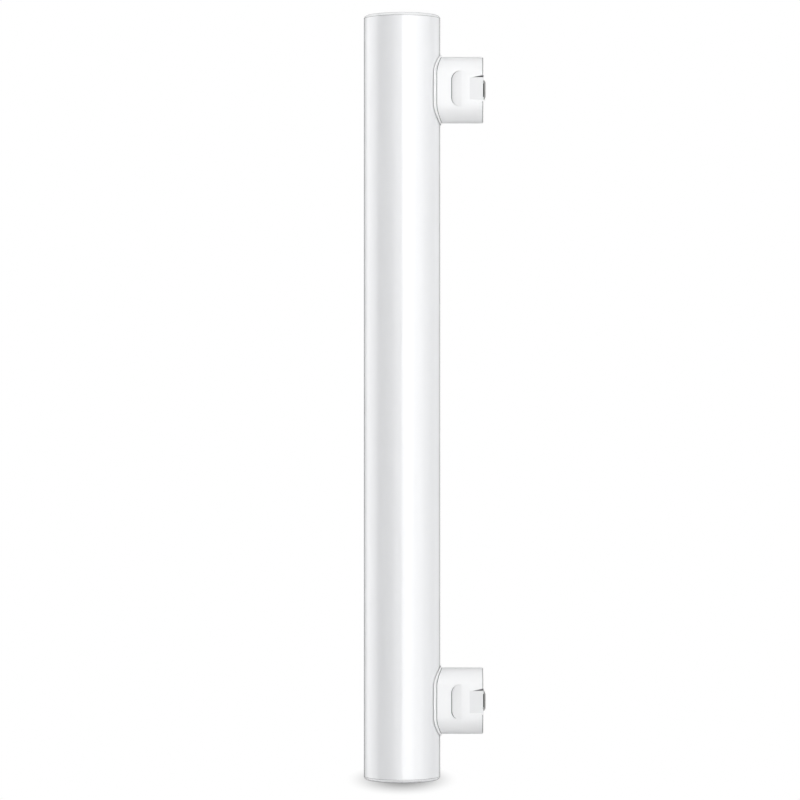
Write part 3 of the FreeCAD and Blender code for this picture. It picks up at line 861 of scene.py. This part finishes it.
    def is_ramp_floor(self, face: bmesh.types.BMFace) -> bool:
        """Whether a face lies on the floor of a lead-in ramp, which is rougher and painted darker
        as shade.

        Args:
            face: The face to test.

        Returns:
            True for the two sloping floors.
        """
        centre = face.calc_center_median()
        flattest, steepest = self.ramp_slope
        return (
            flattest < face.normal.x < steepest
            and abs(face.normal.z) < self.ramp_level
            and centre.x > self.reach - self.ramp_run
            and abs(centre.z - self.height) < self.ramp_floor / 2
        )

    def model_body(self) -> bpy.types.Object:
        """Rounded block that starts on the tube's side.

        Returns:
            The block without its recesses.
        """
        body = self.outline_block(0)
        with editing(body):
            pick_edges(body, lambda edge: lies_at(edge, X, self.reach))
            round_edges(self.rounding, Facets.END)
        saddle = add_drum(
            self.tube_radius - self.edge, self.height - self.length, self.height + self.length
        )
        combine(body, saddle, Combine.CUT)
        pocket = add_box(
            (self.reach - self.pocket_depth, -self.width, self.height - self.pocket_length / 2),
            (self.reach + self.pocket_depth, self.width, self.height + self.pocket_length / 2),
        )
        combine(body, pocket, Combine.CUT)
        half_width = self.rest_width / 2
        half_length = self.rest_length / 2
        rest = add_box(
            (self.reach - 2 * self.pocket_depth, -half_width, self.height - half_length),
            (self.reach + self.rest_height, half_width, self.height + half_length),
        )
        combine(body, rest, Combine.ADD)
        return body

    def outline_block(self, inset: float) -> bpy.types.Object:
        """Block with the body's outline, its four long edges rounded.

        Args:
            inset: How far its sides lie under the body's.

        Returns:
            The block.
        """
        half_width = self.width / 2 - inset
        half_length = self.length / 2 - inset
        block = add_box(
            (self.root, -half_width, self.height - half_length),
            (self.reach, half_width, self.height + half_length),
        )
        with editing(block):
            pick_edges(block, lambda edge: runs_along(edge, X))
            round_edges(self.corner - inset, Facets.OUTLINE)
        return block

    def cut_lines(self, body: bpy.types.Object) -> None:
        """Cut the fine lines round the block: where it stands on its collar and at its end.

        Args:
            body: The block.
        """
        low = self.height - self.length
        high = self.height + self.length
        inner = self.tube_radius + self.collar_height
        foot_line = add_drum(inner + self.line, low, high)
        core = add_drum(inner, low - TINY, high + TINY)
        combine(foot_line, core, Combine.CUT)
        line_end = self.reach - self.line_inset
        end_line = add_box((line_end - self.line, -self.width, low), (line_end, self.width, high))
        for band in (foot_line, end_line):
            combine(band, self.outline_block(self.line_depth), Combine.CUT)
            combine(body, band, Combine.CUT)

    def model_collar(self) -> bpy.types.Object:
        """Thin collar that follows the tube round the foot of the block.

        Returns:
            The collar, its rim rounded off towards the tube.
        """
        size = (self.length + 2 * self.overhang, self.width + 2 * self.side_overhang)
        collar = add_sheet(0, self.height, *size)
        with editing(collar):
            bpy.ops.mesh.select_all(action="SELECT")
            round_edges(self.corner + self.overhang, Facets.OUTLINE, "VERTICES")
            bpy.ops.mesh.delete(type="ONLY_FACE")
            pick_edges(
                collar, lambda edge: edge.calc_length() > self.straight and runs_along(edge, Y)
            )
            bpy.ops.mesh.subdivide(number_cuts=self.collar_cuts)
            bpy.ops.mesh.select_all(action="SELECT")
            bpy.ops.mesh.edge_face_add()
        with editing(collar):
            bpy.ops.mesh.select_mode(type="FACE")
            bpy.ops.mesh.select_all(action="SELECT")
            extrude((self.collar_rise, 0, 0))
            for inset, rise in self.collar_steps:
                bpy.ops.mesh.inset(thickness=inset)
                bpy.ops.transform.translate(value=(rise, 0, 0))
            bpy.ops.mesh.inset(thickness=self.collar_band)
            pick_faces(collar, lambda face: all(abs(vert.co.x) < TINY for vert in face.verts))
            bpy.ops.mesh.inset(thickness=self.collar_foot)
            extrude((-self.collar_gap - self.collar_sunk, 0, 0))
            turn_outwards()
        self.wrap(collar)
        return collar

    def wrap(self, collar: bpy.types.Object) -> None:
        """Bend the flat collar round the tube: a point's X becomes its height above the tube.

        Args:
            collar: The flat collar, the underside of its rim at X 0.
        """
        for vert in collar.data.vertices:
            radius = self.tube_radius + self.collar_gap + vert.co.x
            vert.co.x = math.sqrt(radius**2 - vert.co.y**2)

    def recess_tool(self) -> bpy.types.Object:
        """Cutter of the snap recess: a steep wall by the tube, a floor that scoops out to the end.

        Returns:
            The cutter, on the -Y side.
        """
        surface = self.width / 2
        tool = self.recess_blank(0, self.recess_depth)
        scoop = (self.recess_run**2 + self.recess_depth**2) / (2 * self.recess_depth)
        bpy.ops.object.select_all(action="DESELECT")
        bpy.ops.mesh.primitive_cylinder_add(
            vertices=self.scoop_sides,
            radius=scoop + self.breakout,
            depth=2 * self.recess_length,
            location=(self.recess_start + self.recess_run, scoop - surface, self.height),
        )
        settle()
        combine(tool, bpy.context.active_object, Combine.CUT)
        return tool

    def undercut_tool(self) -> bpy.types.Object:
        """Cutter of the crescent that deepens the recess along its steep wall.

        Returns:
            The cutter, on the -Y side.
        """
        tool = self.recess_blank(-TINY, self.recess_depth + self.undercut_depth)
        rest = self.recess_blank(self.undercut, 2 * self.recess_depth + self.undercut_depth)
        combine(tool, rest, Combine.CUT)
        return tool

    def recess_blank(self, shift: float, depth: float) -> bpy.types.Object:
        """Block with the recess's outline on the -Y side, rounded towards the tube.

        Args:
            shift: How far it is moved away from the tube.
            depth: How far it reaches under the surface.

        Returns:
            The block.
        """
        surface = self.width / 2
        start = self.recess_start + shift
        blank = add_box(
            (start, -surface - depth, self.height - self.recess_length / 2),
            (start + self.recess_run, depth - surface, self.height + self.recess_length / 2),
        )
        with editing(blank):
            pick_edges(blank, lambda edge: runs_along(edge, Y) and lies_at(edge, X, start))
            round_edges(self.recess_corner, Facets.RECESS)
        return blank

    def wedge_tool(self) -> bpy.types.Object:
        """Cutter of the narrow wedge that runs over the top of the lead-in ramp.

        Returns:
            The cutter, on the -Y side.
        """
        surface = self.width / 2
        foot = self.height + self.wedge_place
        tool = add_box(
            (self.reach - self.wedge_run, -surface - self.wedge_depth, foot),
            (self.reach + self.wedge_run, self.wedge_depth - surface, foot + 2 * self.wedge_rise),
        )
        for vert in tool.data.vertices:
            if vert.co.x < self.reach and vert.co.z > foot + TINY:
                vert.co.z = foot + TINY
        return tool

    def ramp_tool(self) -> bpy.types.Object:
        """Cutter of the lead-in ramp, which widens and deepens towards the end face.

        Returns:
            The cutter, on the -Y side.
        """
        surface = self.width / 2
        foot = self.reach - 2 * self.ramp_run
        mouth = self.reach + self.ramp_run
        outside = 3 * self.ramp_depth
        tool = add_box((foot, -1, -1), (mouth, 1, 1))
        for vert in tool.data.vertices:
            deep = 2 * self.ramp_depth if vert.co.x > self.reach else -self.ramp_depth
            inner = vert.co.y > 0
            flare = 0 if inner else outside + deep
            half = self.ramp_floor / 2 + flare
            vert.co.y = deep - surface if inner else -surface - outside
            vert.co.z = self.height + math.copysign(half, vert.co.z)
        return tool

    def slot_tool(self, side: int) -> bpy.types.Object:
        """Cutter of a slot that a leg of the contact passes through.

        Args:
            side: -1 for the lower leg, 1 for the upper.

        Returns:
            The cutter.
        """
        low, high = sorted((side * self.slot_inner, side * self.slot_outer))
        return add_box(
            (self.reach - self.slot_depth, -self.slot_width / 2, self.height + low),
            (self.reach + self.slot_depth, self.slot_width / 2, self.height + high),
        )

    @staticmethod
    def to_side(tool: bpy.types.Object, side: int) -> bpy.types.Object:
        """Mirror a cutter made on the -Y side if it is wanted on the other.

        Args:
            tool: The cutter.
            side: -1 to leave it, 1 to mirror it.

        Returns:
            The cutter, its faces outwards.
        """
        if side > 0:
            for vert in tool.data.vertices:
                vert.co.y = -vert.co.y
        with editing(tool):
            turn_outwards()
        return tool


@dataclass
class Contact:
    """Plated strip folded over the end face of a block."""

    node: str
    name: str
    turned: bool
    inset: float = 0.2 * MM
    thickness: float = 0.55 * MM
    width: float = 5.0 * MM
    length: float = 8.3 * MM
    proud: float = 1.0 * MM
    foot: float = 1.6 * MM
    end_wall: float = 2.0 * MM
    tail: float = 8.0 * MM
    fold: float = 0.6 * MM
    edge: float = 0.06 * MM
    edge_angle: float = math.radians(50)
    sideways: float = 0.5

    def build(self) -> None:
        """Fold the strip from a flat piece and put it in place of its node."""
        lowest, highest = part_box(self.node)
        outer = highest[X] - self.inset
        height = (lowest[Z] + highest[Z]) / 2
        side = -1 if self.turned else 1
        crown = self.length / 2 - self.proud
        strip = add_sheet(outer, height, 2 * crown, self.width)
        with editing(strip):
            for way, runs in (
                (side, ((-self.proud, self.proud), (-self.end_wall, 0), (0, -self.foot))),
                (-side, ((-self.proud, self.proud), (-self.tail, 0))),
            ):
                end = height + way * crown
                pick_edges(strip, lambda edge: lies_at(edge, Z, end) and lies_at(edge, X, outer))
                for along, rise in runs:
                    extrude((along, 0, way * rise))
            pick_edges(strip, lambda edge: runs_along(edge, Y) and len(edge.link_faces) == 2)
            round_edges(self.fold, Facets.FOLD)
            turn_outwards()
        self.face_outwards(strip)
        apply_modifier(strip, "SOLIDIFY", thickness=self.thickness, offset=-1, use_even_offset=True)
        break_edges(strip, self.edge, self.edge_angle)
        smooth(strip)
        dress(strip, PLATING)
        add_finish(strip, CUT_EDGE, lambda face: abs(face.normal.y) > self.sideways)
        install(strip, self.name, self.node)

    @staticmethod
    def face_outwards(strip: bpy.types.Object) -> None:
        """Turn the strip's faces so that its outermost face looks along +X.

        Args:
            strip: The folded strip, still without thickness.
        """
        outermost = max(strip.data.polygons, key=lambda face: face.center.x)
        if outermost.normal.x < 0:
            with editing(strip):
                bpy.ops.mesh.select_all(action="SELECT")
                bpy.ops.mesh.flip_normals()


def dress_inner_parts() -> None:
    """Give each node that is shown as packed its own finish."""
    for node, finish in INNER_FINISHES.items():
        dress(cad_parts[node], finish)
        log.info("%s: %s", node, finish.name)


@dataclass(frozen=True)
class Panel:
    """Upright panel that stands round the lamp and faces it.

    Azimuths are in degrees from the camera's side, positive towards +X. Level 1 is white.
    """

    name: str
    start: float
    end: float
    level: float
    distance: float
    low: float
    high: float

    @property
    def size(self) -> tuple[float, float]:
        """Sizes of the panel.

        Returns:
            Its width, which spans its azimuths, and its height.
        """
        half = math.radians((self.end - self.start) / 2)
        return 2 * self.distance * math.tan(half), self.high - self.low

    def stand(self, panel: bpy.types.Object) -> None:
        """Move the panel to its place and turn it to the lamp.

        Args:
            panel: The light or card, level at the origin.
        """
        azimuth = math.radians((self.start + self.end) / 2)
        panel.location = (
            self.distance * math.sin(azimuth),
            -self.distance * math.cos(azimuth),
            (self.low + self.high) / 2,
        )
        panel.rotation_euler = (math.pi / 2, 0, azimuth)


@dataclass(frozen=True)
class Softbox(Panel):
    """Tall area light, which reflections don't show. Cards stand in for it there."""

    distance: float = 1.7
    low: float = 0.15
    high: float = 2.4

    def build(self) -> None:
        """Place the light."""
        self.stand(area_light(self.name, *self.size, self.level))


@dataclass(frozen=True)
class Overhead:
    """Square area light above the lamp, facing down."""

    name: str
    strength: float
    size: float = 2.6
    height: float = 2.4

    def build(self) -> None:
        """Place the light."""
        light = area_light(self.name, self.size, self.size, self.strength)
        light.location = (0, 0, self.height)


@dataclass(frozen=True)
class Card(Panel):
    """Card that shows in reflections only: a white panel or a dark gap."""

    distance: float = 2.2
    low: float = -1.6
    high: float = 2.0

    def build(self) -> None:
        """Place the card."""
        self.stand(glossy_card(self.name, *self.size, self.level))


@dataclass(frozen=True)
class Lid:
    """Level card above or below the lamp that shows in reflections only."""

    name: str
    height: float
    near: float
    far: float
    level: float
    width: float = 5.6

    def build(self) -> None:
        """Place the card."""
        card = glossy_card(self.name, self.width, self.far - self.near, self.level)
        card.location = (0, (self.near + self.far) / 2, self.height)


def area_light(name: str, width: float, length: float, strength: float) -> bpy.types.Object:
    """Add an area light that lights the object but doesn't show.

    Args:
        name: Name of the light.
        width: Size along its X.
        length: Size along its Y.
        strength: Brightness of its face, where 1 is white.

    Returns:
        The light, still at the origin and facing down.
    """
    data = bpy.data.lights.new(name, "AREA")
    data.shape = "RECTANGLE"
    data.size = width
    data.size_y = length
    data.energy = strength * math.pi * width * length
    light = bpy.data.objects.new(name, data)
    bpy.context.collection.objects.link(light)
    light.visible_camera = False
    light.visible_glossy = False
    return light


def glossy_card(name: str, width: float, length: float, level: float) -> bpy.types.Object:
    """Add a card that shows in reflections only.

    Args:
        name: Name of the card.
        width: Size along its X.
        length: Size along its Y.
        level: Its brightness, where 1 is white.

    Returns:
        The card, still level at the origin.
    """
    bpy.ops.object.select_all(action="DESELECT")
    bpy.ops.mesh.primitive_plane_add(size=1)
    card = bpy.context.active_object
    card.scale = (width, length, 1)
    card.name = name
    card.visible_camera = False
    card.visible_diffuse = False
    card.visible_shadow = False
    card.visible_transmission = False
    material, shader = start_material(name)
    feed(shader, {**MATT_GLOW, "Base Color": BLACK, "Emission Strength": level})
    card.data.materials.append(material)
    return card


@dataclass
class Studio:
    """Pale floor, white surroundings, soft lights and the camera."""

    lights: tuple[Softbox | Overhead, ...] = (
        Overhead("overhead_light", 0.39),
        Softbox("left_light", -60, -30, 1.66),
        Softbox("right_light", 35, 60, 3.3, low=-1.6),
        Softbox("back_right_light", 110, 150, 0.64, low=-1.6),
        Softbox("back_left_light", -130, -95, 2.2, low=-1.6),
    )
    cards: tuple[Card | Lid, ...] = (
        Card("key_card", 0.4, 14, 3.75),
        Card("key_edge_card", 14, 34, 3.45),
        Card("right_card", 34, 66, 2.25),
        Card("right_gap", 66, 90, 1.25),
        Card("right_dark", 90, 112, 0.65),
        Card("back_right_card", 112, 155, 0.8),
        Card("back_dark", 155, 210, 0.0),
        Card("back_left_gap", -150, -132, 0.5),
        Card("back_left_card", -132, -93, 1.6),
        Card("left_gap", -93, -80, 1.2),
        Card("left_dark", -80, -50, 0.0),
        Card("front_left_card", -50, -25, 0.15),
        Card("front_card", -25, 0.4, 1.1),
        Lid("top_front_lid", 2.0, -2.8, 0, 1.0),
        Lid("top_back_lid", 2.0, 0, 2.8, 0.0),
        Lid("low_front_lid", -1.6, -2.8, 0, 0.25),
        Lid("low_back_lid", -1.6, 0, 2.8, 0.0),
    )
    ambient: float = 0.32
    floor_size: float = 12.0
    floor_colour: float = 0.85
    # Painted shadow round the foot: its tone, the spot's half sizes and where it fades.
    shadow_colour: float = 0.33
    shadow_half: tuple[float, float, float] = (24 * MM, 64 * MM, 1)
    shadow_core: float = 0.06
    shadow_rim: float = 0.94
    camera_place: tuple[float, float, float] = (-0.8 * MM, -1.35, 149 * MM)
    lens: float = 154.5
    sensor: float = 36

    def build(self) -> None:
        """Set up the floor, the world, the lights and the camera."""
        scene = bpy.context.scene
        scene.view_settings.view_transform = "Standard"
        self.add_floor()
        self.set_world(scene)
        for piece in (*self.lights, *self.cards):
            piece.build()
        self.add_camera(scene)

    def add_floor(self) -> None:
        """Lay the floor, which shows white beyond a painted shadow round the lamp's foot."""
        bpy.ops.object.select_all(action="DESELECT")
        bpy.ops.mesh.primitive_plane_add(size=self.floor_size)
        floor = bpy.context.active_object
        floor.name = "floor"
        floor.visible_glossy = False
        floor.data.materials.append(self.floor_material())

    def floor_material(self) -> bpy.types.Material:
        """Pale floor that the eye sees white, apart from a soft painted shadow round the lamp's
        foot, laid over its real shadow.

        Returns:
            The material. Rays that carry bounced light meet an even floor without glow or painted
            shadow.
        """
        material, shader = start_material("floor")
        tree = material.node_tree
        place = add_node(tree, "TexCoord", {}).outputs["Object"]
        share = add_node(tree, "VectorMath", {0: place, 1: self.shadow_half}, operation="DIVIDE")
        reach = add_node(tree, "VectorMath", {0: share.outputs["Vector"]}, operation="LENGTH")
        span = {"From Min": self.shadow_core, "From Max": self.shadow_rim}
        fade = add_node(
            tree,
            "MapRange",
            {"Value": reach.outputs["Value"], **span},
            interpolation_type="SMOOTHSTEP",
        ).outputs["Result"]
        # Painted shadow: camera rays see the floor's colour darkened round the foot, fading out
        # towards the rim.
        shaded = add_node(
            tree,
            "Mix",
            {"Factor": fade, "A": (*[self.shadow_colour] * 3, 1), "B": BLACK},
            data_type="RGBA",
        )
        seen = self.seen_rays(tree)
        tone = add_node(
            tree,
            "Mix",
            {"Factor": seen, "A": (*[self.floor_colour] * 3, 1), "B": shaded.outputs["Result"]},
            data_type="RGBA",
        )
        glow = add_node(tree, "Math", {0: fade, 1: seen}, operation="MULTIPLY")
        feed(
            shader,
            {
                **MATT_GLOW,
                "Base Color": tone.outputs["Result"],
                "Roughness": 1.0,
                "Emission Strength": glow.outputs[0],
            },
        )
        return material

    def set_world(self, scene: bpy.types.Scene) -> None:
        """Make the world white where it is seen, and a low even light elsewhere.

        Args:
            scene: The scene that gets the world.
        """
        world = bpy.data.worlds.new("studio")
        scene.world = world
        world.use_nodes = True
        tree = world.node_tree
        levels = {"To Min": self.ambient, "To Max": 1.0}
        level = add_node(tree, "MapRange", {"Value": self.seen_rays(tree), **levels})
        feed(tree.nodes["Background"], {"Color": WHITE, "Strength": level.outputs["Result"]})

    @staticmethod
    def seen_rays(tree: bpy.types.NodeTree) -> bpy.types.NodeSocket:
        """Light Path's camera, glossy and transmission rays as one switch.

        Args:
            tree: Nodes of the material or world.

        Returns:
            Socket that is 1 for those rays and 0 for others.
        """
        path = add_node(tree, "LightPath", {})
        seen = path.outputs["Is Camera Ray"]
        for name in ("Is Glossy Ray", "Is Transmission Ray"):
            either = add_node(tree, "Math", {0: seen, 1: path.outputs[name]}, operation="MAXIMUM")
            seen = either.outputs[0]
        return seen

    def add_camera(self, scene: bpy.types.Scene) -> None:
        """Stand the camera in front of the lamp, level with its middle.

        Args:
            scene: The scene that looks through it.
        """
        data = bpy.data.cameras.new("camera")
        data.lens = self.lens
        data.sensor_width = self.sensor
        camera = bpy.data.objects.new("camera", data)
        bpy.context.collection.objects.link(camera)
        camera.location = self.camera_place
        camera.rotation_euler = (math.pi / 2, 0, 0)
        scene.camera = camera


def main() -> None:
    """Build and dress the lamp, then the studio."""
    logging.basicConfig(level=logging.INFO, format="%(name)s: %(message)s")
    DiffuserTube().build()
    EndCap("bottom_end_cap", "bottom_cap", turned=False).build()
    EndCap("top_end_cap", "top_cap", turned=True).build()
    for place, turned in (("upper", False), ("lower", True)):
        SocketBlock(f"{place}_socket_block", f"{place}_block").build()
        Contact(f"{place}_contact", f"{place}_strip", turned).build()
    dress_inner_parts()
    Studio().build()


if __name__ == "__main__":
    main()
